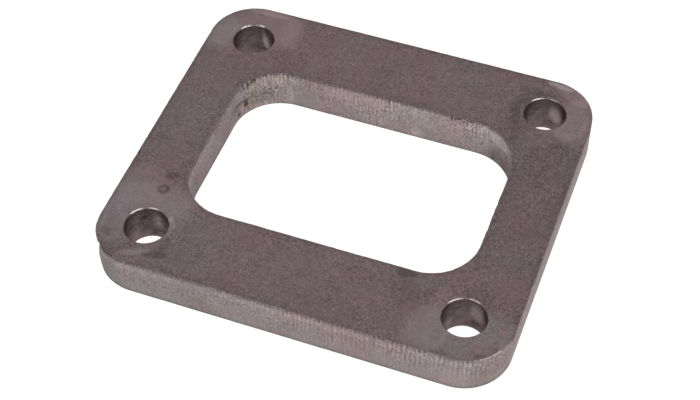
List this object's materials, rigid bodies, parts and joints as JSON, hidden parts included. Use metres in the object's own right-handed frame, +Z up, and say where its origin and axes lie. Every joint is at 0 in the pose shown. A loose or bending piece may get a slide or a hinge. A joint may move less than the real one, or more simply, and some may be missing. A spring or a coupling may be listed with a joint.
{
  "type": "turbo inlet flange",
  "caption": "Flat steel plate with rounded corners, a rounded rectangular gas port and a chamfered stud hole in each corner.",
  "frame": {"origin": "middle of the plate's lower face", "axes": "+X along the plate's longer edge, +Y along its shorter edge, +Z up through its thickness"},
  "size_m": [0.1168, 0.1028, 0.0124],
  "materials": {
    "steel_plate": "hot-rolled mild steel with its thin mill scale, cut edges left bare, corners rubbed smooth around the stud holes"
  },
  "bodies": {
    "root": {"flange_plate": "steel_plate"}
  },
  "joints": []
}
